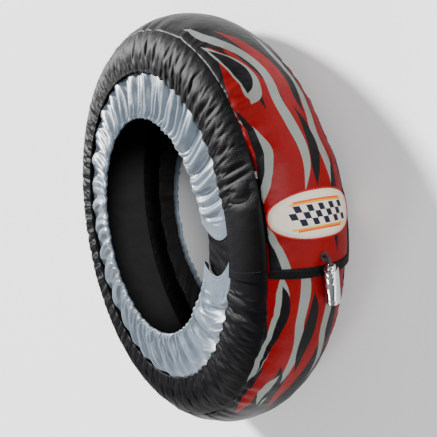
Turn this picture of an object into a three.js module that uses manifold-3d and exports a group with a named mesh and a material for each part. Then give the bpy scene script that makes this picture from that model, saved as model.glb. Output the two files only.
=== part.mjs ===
// Motorcycle tyre warmer: a padded heating strap that closes round a front tyre, lying on one flank.
// Azimuth 0 points along -Y, where the strap's ends overlap, and 90 along +X. The axis is vertical.
import * as THREE from 'three';
import { mergeVertices } from 'three/addons/utils/BufferGeometryUtils.js';
import Module from 'manifold-3d';

const wasm = await Module();
wasm.setup();

// Strap across its width
const OUTER_DIAMETER = 620;
const TREAD_WIDTH = 120;
const CROWN_DROP = 23.3;
const CROWN_POWER = 2.25;
const GATHER_DIAMETER = 461;
const GATHER_RISE = 13.9;
const SHOULDER_RISE = 20;
const SHOULDER_SHARE = 0.33;
const HEM_DIAMETER = 327;
const HEM_DROP = 2.4;
const SKIRT_SAG = 2.5;
const FLOOR_HALF = 72.5;

// Cloth and padding
const CLEARANCE = 0.3;
const SEAM_GAP = 0.5;
const GATHER_GAP = 0.9;
const COVER = 1.2;
const BAND = 1;
const SKIRT = 0.8;
const WADDING = 5;
const WADDING_GAP = 1;
const MAT = 1;
const LINER = 1;
const LINING_HALF = 54;
const TONGUE = 0.9;
const TONGUE_INNER_DIAMETER = 330;
const TONGUE_OUTER_DIAMETER = 492;

// Closure, in degrees of azimuth along the strap
const FLAP_END = -16;
const FLAP_SIDE_END = -16.5;
const FLAP_GATHER_END = -19.5;
const UNDERLAP_END = 367;
const LINING_START = 9;
const RAMP_START = 9;
const RAMP_END = 17;
const SIDE_LIFT = 2.2;
const TUCK_START = 332;
const TUCK_END = 339;
const HEMMED_FROM = -21;
const HEMMED_TO = 0.5;
const FOLD_FADE = 5;

// Closure tapes
const TAPE = 1.2;
const TAPE_FROM = -9;
const TAPE_TO = 5;
const TAPE_EDGE = 48;
const LEAD_CHANNEL_HALF = 6;
const BINDING = 1;
const BINDING_WIDTH = 11.5;
const BADGE = 1.2;
const BADGE_LENGTH = 120;
const BADGE_HEIGHT = 56;
const BADGE_AZIMUTH = -2.8;

// Gap of the skirt at the closure, in degrees at the gathered edge and at the hem
const NOTCH_FROM = { gather: -12.1, hem: -20.2, bow: 6.5 };
const NOTCH_TO = { gather: -5.2, hem: -2.5, bow: 4.75 };
const TONGUE_FROM = -24.5;
const TONGUE_TO = 2;

// Gathers and folds
const BAND_RELIEF = 2.1;
const SKIRT_RELIEF = 4.6;
const HEM_RELIEF = 1.4;
const HEM_SCALLOP = 2;
const HEM_DEPTH = 10;
const HEM_THICKNESS = 4;

// Elastics
const ELASTIC = 1;
const GATHER_ELASTIC_WIDTH = 8;
const HEM_ELASTIC_WIDTH = 5;
const ELASTIC_START = 12;
const GATHER_ELASTIC_END = 324;
const HEM_ELASTIC_END = 338;

// Heating
const WIRE = 1.7;
const WIRE_OUTER_LINE = 42;
const WIRE_INNER_LINE = 14;
const WIRE_TERMINAL = 3;
const SWITCH_DIAMETER = 12;
const SWITCH_HEIGHT = 3.4;
const FUSE_DIAMETER = 3.2;
const FUSE_LENGTH = 12;

// Connector and lead
const CONNECTOR_DIAMETER = 18;
const CONNECTOR_LENGTH = 46;
const CONNECTOR_WALL = 1.2;
const CONNECTOR_REAR = 3;
const CONNECTOR_AZIMUTH = -14.3;
const CONNECTOR_SLANT = -13;
const CONNECTOR_DIP = 6;
const CONNECTOR_SWEEP = -8.2;
const INSERT_LENGTH = 12;
const INSERT_INSET = 9;
const PIN_DIAMETER = 2.4;
const PIN_LENGTH = 18;
const PIN_CIRCLE = 7.4;
const NUT_DIAMETER = 11;
const NUT_LENGTH = 5;
const LEAD_WIDTH = 5;
const LEAD_THICKNESS = 2.6;
const EYELET_AZIMUTH = -12;
const EYELET_DIAMETER = 9;
const EYELET_FLANGE = 12;

// Facets
const COVER_ROWS = [-1, -0.8, -26 / 60, 0, 26 / 60, 0.8, 1];
const LINING_ROWS = [-1, -26 / 54, 0, 26 / 54, 1];
const BAND_ROWS = [0, 0.2, 0.45, 0.72, 1];
const LINING_STEPS = 36;
const COVER_STEPS = 50;
const FLAP_STEPS = 10;
const UPPER_BAND_FOLDS = 88;
const LOWER_BAND_FOLDS = 60;
const UPPER_SKIRT_FOLDS = 84;
const LOWER_SKIRT_FOLDS = 60;
const ELASTIC_STEPS = 36;

// Sizes that follow from the ones above
const outerRadius = OUTER_DIAMETER / 2;
const treadHalf = TREAD_WIDTH / 2;
const seamRadius = outerRadius - CROWN_DROP;
const gatherRadius = GATHER_DIAMETER / 2;
const hemRadius = HEM_DIAMETER / 2;
const gatherHeight = treadHalf + GATHER_RISE;
const hemHeight = gatherHeight - HEM_DROP;
const flapLift = 3 * CLEARANCE + 2 * TAPE + COVER;
const waddingDepth = COVER + WADDING_GAP;
const matDepth = waddingDepth + WADDING + CLEARANCE;
const wireDepth = matDepth + MAT + CLEARANCE + WIRE / 2;
const linerDepth = wireDepth + WIRE / 2 + CLEARANCE;

const mix = THREE.MathUtils.lerp;
const ramp = (value, from, to) => THREE.MathUtils.smoothstep(value, from, to);

function place(azimuth, radius, side) {
  const turn = THREE.MathUtils.degToRad(azimuth);
  return new THREE.Vector3(radius * Math.sin(turn), -radius * Math.cos(turn), side);
}

function evenly(from, to, steps) {
  return Array.from({ length: steps + 1 }, (_, i) => mix(from, to, i / steps));
}

// Repeatable irregular number from 0 to 1
function chance(index, seed) {
  const wave = Math.sin(index * 12.9898 + seed * 78.233) * 43758.5453;
  return wave - Math.floor(wave);
}

function facesOut(geometry) {
  const { array } = geometry.index;
  const spot = (k) => new THREE.Vector3().fromBufferAttribute(geometry.attributes.position, array[k]);
  let volume = 0;
  for (let k = 0; k < array.length; k += 3) {
    volume += spot(k).dot(spot(k + 1).cross(spot(k + 2)));
  }
  if (volume < 0) {
    for (let k = 0; k < array.length; k += 3) {
      [array[k + 1], array[k + 2]] = [array[k + 2], array[k + 1]];
    }
  }
  geometry.computeVertexNormals();
  return geometry;
}

// Closed sheet between two grids of points: outer(i, j) and inner(i, j), stations i by rows j
function sheetSolid(stationCount, rowCount, outer, inner) {
  const positions = [];
  for (const skin of [outer, inner]) {
    for (let i = 0; i < stationCount; i += 1) {
      for (let j = 0; j < rowCount; j += 1) {
        positions.push(...skin(i, j).toArray());
      }
    }
  }
  const out = (i, j) => i * rowCount + j;
  const under = (i, j) => (stationCount + i) * rowCount + j;
  const index = [];
  const quad = (a, b, c, d) => index.push(a, b, c, a, c, d);
  const lastRow = rowCount - 1;
  const lastStation = stationCount - 1;
  for (let i = 0; i < lastStation; i += 1) {
    for (let j = 0; j < lastRow; j += 1) {
      quad(out(i, j), out(i + 1, j), out(i + 1, j + 1), out(i, j + 1));
      quad(under(i, j), under(i, j + 1), under(i + 1, j + 1), under(i + 1, j));
    }
    quad(out(i, 0), under(i, 0), under(i + 1, 0), out(i + 1, 0));
    quad(out(i, lastRow), out(i + 1, lastRow), under(i + 1, lastRow), under(i, lastRow));
  }
  for (let j = 0; j < lastRow; j += 1) {
    quad(out(0, j), out(0, j + 1), under(0, j + 1), under(0, j));
    quad(out(lastStation, j), under(lastStation, j), under(lastStation, j + 1), out(lastStation, j + 1));
  }
  const geometry = new THREE.BufferGeometry();
  geometry.setAttribute('position', new THREE.Float32BufferAttribute(positions, 3));
  geometry.setIndex(index);
  return facesOut(geometry);
}

// Radius of the tread's outer face at a distance from the middle plane
function treadRadius(side) {
  return outerRadius - CROWN_DROP * (Math.abs(side) / treadHalf) ** CROWN_POWER;
}

// Height of the strap above its lower turn where the flap lies over the other end
function overlapShare(azimuth) {
  return 1 - ramp(azimuth, RAMP_START, RAMP_END);
}

// Layer of the tread: stations by rows, with its outer face at a depth under the tread's face
function treadLayer(azimuths, sides, depth, thickness, lift = () => 0) {
  const point = (i, j, extra) => {
    const radius = treadRadius(sides[j]) - extra + lift(azimuths[i]);
    return place(azimuths[i], radius, sides[j]);
  };
  return sheetSolid(
    azimuths.length,
    sides.length,
    (i, j) => point(i, j, depth),
    (i, j) => point(i, j, depth + thickness),
  );
}

const coverAzimuths = [
  ...evenly(FLAP_END, RAMP_START, FLAP_STEPS),
  ...evenly(RAMP_START, RAMP_END, 3).slice(1),
  ...evenly(RAMP_END, TUCK_END, COVER_STEPS).slice(1),
  ...evenly(TUCK_END, UNDERLAP_END, FLAP_STEPS).slice(1),
];

function treadCover() {
  const sides = COVER_ROWS.map((share) => share * treadHalf);
  const lift = (azimuth) => flapLift * overlapShare(azimuth);
  const cover = treadLayer(coverAzimuths, sides, 0, COVER, lift);
  const hole = new THREE.CylinderGeometry(EYELET_DIAMETER / 2, EYELET_DIAMETER / 2, 3 * COVER, 16);
  standOnTread(hole, EYELET_AZIMUTH, outerRadius + flapLift - COVER / 2, 0);
  return cut(cover, hole);
}

const liningAzimuths = evenly(LINING_START, UNDERLAP_END, LINING_STEPS);
const liningSides = LINING_ROWS.map((share) => share * LINING_HALF);

function liningLayer(depth, thickness) {
  return treadLayer(liningAzimuths, liningSides, depth, thickness);
}

// Point on the flat facets of a lining layer
function onLining(azimuth, side, depth) {
  const step = (UNDERLAP_END - LINING_START) / LINING_STEPS;
  const i = Math.min(LINING_STEPS - 1, Math.floor((azimuth - LINING_START) / step));
  const j = Math.min(liningSides.length - 2, liningSides.findLastIndex((edge) => edge <= side));
  const share = (side - liningSides[j]) / (liningSides[j + 1] - liningSides[j]);
  const radius = mix(treadRadius(liningSides[j]), treadRadius(liningSides[j + 1]), share) - depth;
  const from = place(liningAzimuths[i], radius, side);
  const to = place(liningAzimuths[i + 1], radius, side);
  return from.lerp(to, (azimuth - liningAzimuths[i]) / step);
}

// Solid from a geometry whose equal corners are merged
function solidOf(geometry) {
  const bare = geometry.clone();
  bare.deleteAttribute('normal');
  bare.deleteAttribute('uv');
  const merged = mergeVertices(bare, 1e-4);
  return new wasm.Manifold(new wasm.Mesh({
    numProp: 3,
    vertProperties: new Float32Array(merged.attributes.position.array),
    triVerts: new Uint32Array(merged.index.array),
  }));
}

function cut(geometry, ...cutters) {
  let solid = solidOf(geometry);
  for (const cutter of cutters) {
    solid = solid.subtract(solidOf(cutter));
  }
  const mesh = solid.getMesh();
  const result = new THREE.BufferGeometry();
  result.setAttribute('position', new THREE.BufferAttribute(mesh.vertProperties, 3));
  result.setIndex(new THREE.BufferAttribute(mesh.triVerts, 1));
  result.computeVertexNormals();
  return result;
}

// Turns a geometry's Y axis outward along the radius and moves it to its place
function standOnTread(geometry, azimuth, radius, side) {
  const outward = place(azimuth, 1, 0);
  const turn = new THREE.Quaternion().setFromUnitVectors(new THREE.Vector3(0, 1, 0), outward);
  geometry.applyQuaternion(turn);
  geometry.translate(...place(azimuth, radius, side).toArray());
  return geometry;
}

const facetMiddle = (share) => {
  const i = Math.floor(share * LINING_STEPS);
  return (liningAzimuths[i] + liningAzimuths[i + 1]) / 2;
};
const sensorAzimuths = { first: facetMiddle(0.12), second: facetMiddle(0.62), fuse: facetMiddle(0.16) };

// Round or long sensor that sits in the wadding, on the heating mat
function sensor(azimuth, diameter, length, height, clearance) {
  const long = length > diameter;
  const grow = 2 * clearance;
  const shape = long
    ? new THREE.CylinderGeometry((diameter + grow) / 2, (diameter + grow) / 2, length + grow, 10)
    : new THREE.CylinderGeometry((diameter + grow) / 2, (diameter + grow) / 2, height + grow, 16);
  if (long) {
    shape.rotateX(Math.PI / 2);
  }
  const seat = onLining(azimuth, 0, matDepth - CLEARANCE - height / 2);
  return standOnTread(shape, azimuth, Math.hypot(seat.x, seat.y), 0);
}

const heatSwitch = (azimuth, clearance = 0) =>
  sensor(azimuth, SWITCH_DIAMETER, 0, SWITCH_HEIGHT, clearance);

function heatFuse(clearance = 0) {
  const radius = FUSE_DIAMETER / 2 + clearance;
  const shape = new THREE.CylinderGeometry(radius, radius, FUSE_LENGTH + 2 * clearance, 12);
  shape.rotateX(Math.PI / 2);
  const seat = onLining(sensorAzimuths.fuse, 0, matDepth - CLEARANCE - FUSE_DIAMETER / 2);
  shape.translate(seat.x, seat.y, 0);
  return shape;
}

function wadding() {
  return cut(
    liningLayer(waddingDepth, WADDING),
    heatSwitch(sensorAzimuths.first, SEAM_GAP),
    heatSwitch(sensorAzimuths.second, SEAM_GAP),
    heatFuse(SEAM_GAP),
  );
}

// One wire laid to and fro along the strap, with both its ends beside the lead
function heatingWire() {
  const stop = LINING_STEPS - 1;
  const forth = liningAzimuths.slice(1, stop + 1);
  const back = forth.slice().reverse();
  const terminal = mix(liningAzimuths[0], liningAzimuths[1], 0.15);
  const edge = 26 / 54 * LINING_HALF;
  const line = (azimuths, side) => azimuths.map((azimuth) => [azimuth, side]);
  const far = liningAzimuths[stop];
  const near = liningAzimuths[1];
  const route = [
    [terminal, -WIRE_TERMINAL],
    [terminal, -edge],
    [terminal, -WIRE_OUTER_LINE],
    ...line(forth, -WIRE_OUTER_LINE),
    [far, -edge],
    ...line(back, -WIRE_INNER_LINE),
    [near, 0],
    ...line(forth, WIRE_INNER_LINE),
    [far, edge],
    ...line(back, WIRE_OUTER_LINE),
    [terminal, WIRE_OUTER_LINE],
    [terminal, edge],
    [terminal, WIRE_TERMINAL],
  ];
  return diamondWire(route.map(([azimuth, side]) => onLining(azimuth, side, wireDepth)), WIRE / 2);
}

// Four-sided wire through the points, with two of its edges facing in and out
function diamondWire(points, reach) {
  const axis = new THREE.Vector3(0, 0, 1);
  const positions = [];
  points.forEach((point, k) => {
    const before = points[Math.max(k - 1, 0)];
    const after = points[Math.min(k + 1, points.length - 1)];
    const ahead = after.clone().sub(before).normalize();
    const outward = point.clone().projectOnPlane(axis).normalize();
    const across = ahead.cross(outward).normalize();
    const corners = [outward, across, outward.clone().negate(), across.clone().negate()];
    corners.forEach((corner) => positions.push(...corner.multiplyScalar(reach).add(point).toArray()));
  });
  const index = [];
  for (let k = 0; k < points.length - 1; k += 1) {
    for (let c = 0; c < 4; c += 1) {
      const [a, b] = [4 * k + c, 4 * k + (c + 1) % 4];
      index.push(a, b, b + 4, a, b + 4, a + 4);
    }
  }
  const last = 4 * (points.length - 1);
  index.push(0, 2, 1, 0, 3, 2, last, last + 1, last + 2, last, last + 2, last + 3);
  const geometry = new THREE.BufferGeometry();
  geometry.setAttribute('position', new THREE.Float32BufferAttribute(positions, 3));
  geometry.setIndex(index);
  return facesOut(geometry);
}

// Crests and valleys at irregular distances: share of the way round, and height from 0 to 1
function foldStations(count, seed) {
  const stations = [{ share: 0, height: 0 }];
  for (let i = 1; i <= count; i += 1) {
    const crest = i % 2 === 1;
    const step = 0.75 + 0.5 * chance(i, seed);
    const height = crest ? 0.45 + 0.55 * chance(i, seed + 5) : 0.18 * chance(i, seed + 9);
    stations.push({ share: stations[i - 1].share + step, height });
  }
  const total = stations[count].share;
  return stations.map(({ share, height }) => ({ share: share / total, height }));
}

// Shoulder curve from the tread seam, round the shoulder, to the gathered edge
const shoulderCurve = new THREE.QuadraticBezierCurve(
  new THREE.Vector2(seamRadius, treadHalf + SEAM_GAP),
  new THREE.Vector2(mix(seamRadius, gatherRadius, SHOULDER_SHARE), treadHalf + SHOULDER_RISE),
  new THREE.Vector2(gatherRadius, gatherHeight),
);

// Outward direction of the shoulder: along the radius at the seam and along the axis at the gathers,
// so that each edge lies flat against the piece it is sewn to
function shoulderOutward(share) {
  const ahead = shoulderCurve.getTangent(share);
  const normal = new THREE.Vector2(ahead.y, -ahead.x);
  return normal
    .lerp(new THREE.Vector2(1, 0), Math.max(0, 1 - 5 * share))
    .lerp(new THREE.Vector2(0, 1), Math.max(0, 5 * share - 4))
    .normalize();
}

// The gathers stop where the ends are hemmed flat
function foldShare(azimuth) {
  const turned = azimuth > 180 ? azimuth - 360 : azimuth;
  return ramp(turned, HEMMED_TO, HEMMED_TO + FOLD_FADE) + 1 - ramp(turned, HEMMED_FROM - FOLD_FADE, HEMMED_FROM);
}

// Limit of the flank that lies on the floor, drawn in where the flap covers the other end
function flankLimit(hand, azimuth) {
  return hand > 0 ? Infinity : FLOOR_HALF - SIDE_LIFT * ramp(azimuth, TUCK_START, TUCK_END);
}

function sideBand(hand, folds, seed) {
  const stations = foldStations(folds, seed);
  const azimuthAt = (i, share) =>
    mix(mix(FLAP_SIDE_END, FLAP_GATHER_END, share), UNDERLAP_END, stations[i].share);
  const point = (i, j, depth) => {
    const share = BAND_ROWS[j];
    const azimuth = azimuthAt(i, share);
    const outward = shoulderOutward(share);
    const relief = BAND_RELIEF * mix(0.12, 1, share) * stations[i].height * foldShare(azimuth);
    const lift = mix(flapLift, SIDE_LIFT, share) * overlapShare(azimuth);
    const spot = shoulderCurve.getPoint(share).addScaledVector(outward, relief + lift);
    spot.y = Math.min(spot.y, flankLimit(hand, azimuth));
    spot.addScaledVector(outward, -depth);
    return place(azimuth, spot.x, hand * spot.y);
  };
  return sheetSolid(
    stations.length,
    BAND_ROWS.length,
    (i, j) => point(i, j, 0),
    (i, j) => point(i, j, BAND),
  );
}

// Skirt profile: radius, height, relief of the folds, and direction from the face into the cloth
function skirtRows() {
  const start = gatherRadius - GATHER_GAP;
  const face = (share) => ({
    radius: mix(start, hemRadius, share),
    height: mix(gatherHeight, hemHeight, share) - 4 * SKIRT_SAG * share * (1 - share),
    share,
    scallop: 0,
    inward: new THREE.Vector2(0, -1),
  });
  const hem = (radius, height, inward) =>
    ({ radius, height, share: 1, relief: 0, scallop: HEM_SCALLOP, inward: new THREE.Vector2(...inward) });
  return [
    { ...face(0), relief: 0.3 * SKIRT_RELIEF },
    { ...face(0.35), relief: SKIRT_RELIEF },
    { ...face(0.7), relief: 0.9 * SKIRT_RELIEF },
    { ...hem(hemRadius, hemHeight, [1, -1]), relief: HEM_RELIEF },
    hem(hemRadius, hemHeight - HEM_THICKNESS, [1, 1]),
    { ...hem(hemRadius + HEM_DEPTH, hemHeight - HEM_THICKNESS, [0, 1]), scallop: 0 },
  ];
}

// Azimuth of one end of the skirt, bowed between its gathered edge and its hem
function notchEdge({ gather, hem, bow }, share) {
  return mix(gather, hem, share) - 4 * bow * share * (1 - share);
}

function skirt(hand, folds, seed) {
  const stations = foldStations(folds, seed);
  const rows = skirtRows();
  const point = (i, j, depth) => {
    const row = rows[j];
    const { share, height } = stations[i];
    const azimuth = mix(notchEdge(NOTCH_TO, row.share), 360 + notchEdge(NOTCH_FROM, row.share), share);
    const radius = row.radius + row.scallop * (1 - height) + depth * row.inward.x;
    const level = Math.min(row.height + row.relief * height, flankLimit(hand, 0)) + depth * row.inward.y;
    return place(azimuth, radius, hand * level);
  };
  return sheetSolid(
    stations.length,
    rows.length,
    (i, j) => point(i, j, 0),
    (i, j) => point(i, j, SKIRT),
  );
}

// Flat ring sector lying across the axis, with its faces at the given heights
function flatSector(hand, from, to, steps, radii, heights, thickness) {
  const azimuths = evenly(from, to, steps);
  const point = (i, j, depth) => place(azimuths[i], radii[j], hand * (heights[j] - depth));
  return sheetSolid(
    azimuths.length,
    radii.length,
    (i, j) => point(i, j, 0),
    (i, j) => point(i, j, thickness),
  );
}

function gatherElastic(hand) {
  const top = Math.min(gatherHeight, flankLimit(hand, 0)) - BAND - CLEARANCE;
  const radii = [gatherRadius + 2, gatherRadius + 2 + GATHER_ELASTIC_WIDTH];
  return flatSector(hand, ELASTIC_START, GATHER_ELASTIC_END, ELASTIC_STEPS, radii, [top, top], ELASTIC);
}

// Lies in the folded hem, between the skirt and its turned edge
function hemElastic(hand) {
  const top = hemHeight - HEM_THICKNESS + SKIRT + CLEARANCE + ELASTIC;
  const inner = hemRadius + HEM_SCALLOP + SKIRT + 2 * CLEARANCE;
  const radii = [inner, inner + HEM_ELASTIC_WIDTH];
  return flatSector(hand, ELASTIC_START / 4, HEM_ELASTIC_END, ELASTIC_STEPS, radii, [top, top], ELASTIC);
}

// Black cloth under the gap of the skirt and the ends of the shoulder panels
function closureTongue(hand) {
  const inner = TONGUE_INNER_DIAMETER / 2;
  const rows = skirtRows();
  const start = rows[0];
  const middle = rows[1];
  const slope = (start.height - middle.height) / (start.radius - middle.radius);
  const skirtHeight = (radius) => start.height + slope * (radius - start.radius);
  const under = Math.min(gatherHeight, flankLimit(hand, 360)) - BAND - CLEARANCE;
  const radii = [inner, gatherRadius, TONGUE_OUTER_DIAMETER / 2];
  const heights = [skirtHeight(inner) - SKIRT - CLEARANCE, skirtHeight(gatherRadius) - SKIRT - 2 * CLEARANCE, under];
  return flatSector(
    hand, TONGUE_FROM, TONGUE_TO, 8, radii, heights.map((height) => Math.min(height, under)), TONGUE,
  );
}

function closureTape(hand, depth) {
  const azimuths = coverAzimuths.filter((azimuth) => azimuth > TAPE_FROM && azimuth < TAPE_TO);
  const first = treadHalf * 26 / 60;
  const sides = [LEAD_CHANNEL_HALF, first, TAPE_EDGE].map((side) => hand * side);
  const radiusAt = (side) => {
    const bounds = COVER_ROWS.map((share) => share * treadHalf);
    const j = Math.min(bounds.length - 2, bounds.findLastIndex((edge) => edge <= side + 1e-6));
    const share = (side - bounds[j]) / (bounds[j + 1] - bounds[j]);
    return mix(treadRadius(bounds[j]), treadRadius(bounds[j + 1]), share);
  };
  const point = (i, j, extra) => place(azimuths[i], radiusAt(sides[j]) + depth + extra, sides[j]);
  return sheetSolid(azimuths.length, sides.length, (i, j) => point(i, j, TAPE), (i, j) => point(i, j, 0));
}

// Strip sewn over the flap's end edge
function flapBinding() {
  const width = THREE.MathUtils.radToDeg(BINDING_WIDTH / outerRadius);
  const azimuths = evenly(FLAP_END, FLAP_END + width, 3);
  const sides = COVER_ROWS.map((share) => share * treadHalf);
  return treadLayer(azimuths, sides, -CLEARANCE - BINDING, BINDING, () => flapLift);
}

// Oval patch that follows the flap
function badgePatch() {
  const half = BADGE_LENGTH / 2;
  const tall = THREE.MathUtils.radToDeg(BADGE_HEIGHT / 2 / outerRadius);
  const shares = [-1, -0.9, -0.8, -0.62, -26 / 60, -0.2, 0, 0.2, 26 / 60, 0.62, 0.8, 0.9, 1];
  const point = (i, j, extra) => {
    const side = shares[j] * half;
    const spread = Math.sqrt(Math.max(1 - shares[j] ** 2, 0.004));
    const azimuth = BADGE_AZIMUTH + tall * spread * (i / 4 - 0.5) * 2;
    return place(azimuth, treadRadius(side) + flapLift + CLEARANCE + extra, side);
  };
  return sheetSolid(5, shares.length, (i, j) => point(i, j, BADGE), (i, j) => point(i, j, 0));
}

// Connector, modelled along Y from its mouth at 0 to its rear
function lathe(profile, segments) {
  const points = profile.map(([x, y]) => new THREE.Vector2(x, y));
  return new THREE.LatheGeometry(points, segments);
}

function connectorShell() {
  const outer = CONNECTOR_DIAMETER / 2;
  const bore = outer - CONNECTOR_WALL;
  const leadHole = LEAD_WIDTH / 2 + 2 * CLEARANCE;
  const edge = 0.6;
  return lathe([
    [bore, 0], [outer - edge, 0], [outer, edge],
    [outer, CONNECTOR_LENGTH - 2 * edge], [outer - 2 * edge, CONNECTOR_LENGTH],
    [leadHole, CONNECTOR_LENGTH], [leadHole, CONNECTOR_LENGTH - CONNECTOR_REAR],
    [bore, CONNECTOR_LENGTH - CONNECTOR_REAR], [bore, 0],
  ], 24);
}

function leadNut() {
  const outer = NUT_DIAMETER / 2;
  const hole = LEAD_WIDTH / 2 + 2 * CLEARANCE;
  const base = CONNECTOR_LENGTH + CLEARANCE;
  return lathe([
    [hole, base], [outer, base], [outer, base + 0.6 * NUT_LENGTH],
    [outer - 1, base + NUT_LENGTH], [hole, base + NUT_LENGTH], [hole, base],
  ], 18);
}

const pinSpots = [90, 210, 330].map((turn) => {
  const angle = THREE.MathUtils.degToRad(turn);
  return new THREE.Vector2(Math.cos(angle), Math.sin(angle)).multiplyScalar(PIN_CIRCLE / 2);
});

function contactPin(spot, clearance = 0) {
  const radius = PIN_DIAMETER / 2 + clearance;
  const pin = new THREE.CylinderGeometry(radius, radius, PIN_LENGTH, 10);
  pin.translate(spot.x, INSERT_INSET + PIN_LENGTH / 2 - 4, spot.y);
  return pin;
}

function connectorInsert() {
  const radius = CONNECTOR_DIAMETER / 2 - CONNECTOR_WALL - CLEARANCE;
  const block = new THREE.CylinderGeometry(radius, radius, INSERT_LENGTH, 24);
  block.translate(0, INSERT_INSET + INSERT_LENGTH / 2, 0);
  return cut(block, ...pinSpots.map((spot) => contactPin(spot, CLEARANCE)));
}

const connectorRear = place(
  CONNECTOR_AZIMUTH,
  outerRadius + flapLift + BINDING + 2 * CLEARANCE + CONNECTOR_DIAMETER / 2 + 1.6,
  0,
);
const connectorMouth = place(
  CONNECTOR_AZIMUTH + CONNECTOR_SWEEP,
  Math.hypot(connectorRear.x, connectorRear.y) - CONNECTOR_DIP,
  CONNECTOR_SLANT,
);
const connectorAxis = connectorRear.clone().sub(connectorMouth).normalize();

function onConnector(geometry) {
  geometry.applyQuaternion(new THREE.Quaternion().setFromUnitVectors(new THREE.Vector3(0, 1, 0), connectorAxis));
  geometry.translate(...connectorRear.clone().addScaledVector(connectorAxis, -CONNECTOR_LENGTH).toArray());
  return geometry;
}

function leadEyelet() {
  const outer = EYELET_DIAMETER / 2 - CLEARANCE;
  const hole = LEAD_WIDTH / 2 + 2 * CLEARANCE;
  const flange = EYELET_FLANGE / 2;
  const ring = lathe([
    [hole, 0], [outer, 0], [outer, COVER + CLEARANCE], [flange, COVER + CLEARANCE],
    [flange, COVER + CLEARANCE + 0.8], [hole, COVER + CLEARANCE + 0.8], [hole, 0],
  ], 16);
  return standOnTread(ring, EYELET_AZIMUTH, outerRadius + flapLift - COVER, 0);
}

// Flat lead from the butted ends of the padding, between the closure tapes, to the connector
function powerLead() {
  const between = outerRadius + (flapLift - COVER) / 2;
  const inside = connectorRear.clone().addScaledVector(connectorAxis, -CONNECTOR_REAR - 5);
  const behind = connectorRear.clone().addScaledVector(connectorAxis, NUT_LENGTH + 0.5);
  const route = new THREE.CatmullRomCurve3([
    place(8, outerRadius - matDepth, 0),
    place(7.9, outerRadius - COVER, 0),
    place(7.2, between - 0.1, 0),
    place(5, between, 0),
    place(0, between, 0),
    place(-5, between, 0),
    place(EYELET_AZIMUTH + 1.4, between, 0),
    place(EYELET_AZIMUTH + 0.3, between + 0.5, 0),
    place(EYELET_AZIMUTH, outerRadius + flapLift, 0),
    place(EYELET_AZIMUTH, outerRadius + flapLift + 7, 0),
    behind,
    connectorRear,
    inside,
  ], false, 'centripetal');
  const section = new THREE.Shape();
  section.absellipse(0, 0, LEAD_WIDTH / 2, LEAD_THICKNESS / 2, 0, 2 * Math.PI, false, 0);
  return new THREE.ExtrudeGeometry(section, { steps: 44, curveSegments: 4, extrudePath: route });
}

const looks = {
  print: { color: 0x8d1a1d, roughness: 0.55, metalness: 0 },
  nylon: { color: 0x2b2d2f, roughness: 0.7, metalness: 0 },
  satin: { color: 0xaebac4, roughness: 0.45, metalness: 0 },
  patch: { color: 0xd9d6cc, roughness: 0.6, metalness: 0 },
  felt: { color: 0x8e8a80, roughness: 0.95, metalness: 0 },
  mat: { color: 0x6b5b4b, roughness: 0.8, metalness: 0 },
  liner: { color: 0x1c1c1e, roughness: 0.85, metalness: 0 },
  elastic: { color: 0x33343a, roughness: 0.8, metalness: 0 },
  tape: { color: 0x17181a, roughness: 0.95, metalness: 0 },
  wire: { color: 0xa8552f, roughness: 0.5, metalness: 0.6 },
  chrome: { color: 0xd5d8da, roughness: 0.12, metalness: 1 },
  plastic: { color: 0x121316, roughness: 0.5, metalness: 0 },
  brass: { color: 0xc79a48, roughness: 0.3, metalness: 1 },
  steel: { color: 0x9a9da1, roughness: 0.35, metalness: 1 },
};

const warmer = new THREE.Group();

function add(name, geometry, look) {
  const mesh = new THREE.Mesh(geometry, new THREE.MeshStandardMaterial(looks[look]));
  mesh.name = name;
  warmer.add(mesh);
}

add('tread_cover', treadCover(), 'print');
add('insulation_wadding', wadding(), 'felt');
add('heating_mat', liningLayer(matDepth, MAT), 'mat');
add('heating_wire', heatingWire(), 'wire');
add('liner', liningLayer(linerDepth, LINER), 'liner');
add('heat_switch_1', heatSwitch(sensorAzimuths.first), 'steel');
add('heat_switch_2', heatSwitch(sensorAzimuths.second), 'steel');
add('heat_fuse', heatFuse(), 'steel');

add('side_band_upper', sideBand(1, UPPER_BAND_FOLDS, 1), 'nylon');
add('side_band_lower', sideBand(-1, LOWER_BAND_FOLDS, 2), 'nylon');
add('skirt_upper', skirt(1, UPPER_SKIRT_FOLDS, 3), 'satin');
add('skirt_lower', skirt(-1, LOWER_SKIRT_FOLDS, 4), 'satin');
for (const [hand, end] of [[1, 'upper'], [-1, 'lower']]) {
  add(`gather_elastic_${end}`, gatherElastic(hand), 'elastic');
  add(`hem_elastic_${end}`, hemElastic(hand), 'elastic');
  add(`closure_tongue_${end}`, closureTongue(hand), 'nylon');
  add(`loop_tape_${end}`, closureTape(hand, CLEARANCE), 'tape');
  add(`hook_tape_${end}`, closureTape(hand, 2 * CLEARANCE + TAPE), 'tape');
}

add('flap_binding', flapBinding(), 'nylon');
add('badge_patch', badgePatch(), 'patch');
add('lead_eyelet', leadEyelet(), 'plastic');
add('power_lead', powerLead(), 'plastic');
add('connector_shell', onConnector(connectorShell()), 'chrome');
add('lead_nut', onConnector(leadNut()), 'chrome');
add('connector_insert', onConnector(connectorInsert()), 'plastic');
pinSpots.forEach((spot, k) => {
  add(`contact_pin_${k + 1}`, onConnector(contactPin(spot)), 'brass');
});

// The origin is under the middle of the whole outline, on the surface that it lies on
const outline = new THREE.Box3().setFromObject(warmer);
const middle = outline.getCenter(new THREE.Vector3());
warmer.position.set(-middle.x, -middle.y, -outline.min.z);

export default warmer;
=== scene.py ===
import math
import random

import bmesh
import bpy
from mathutils import Matrix, Vector, noise
from mathutils.geometry import delaunay_2d_cdt


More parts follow.
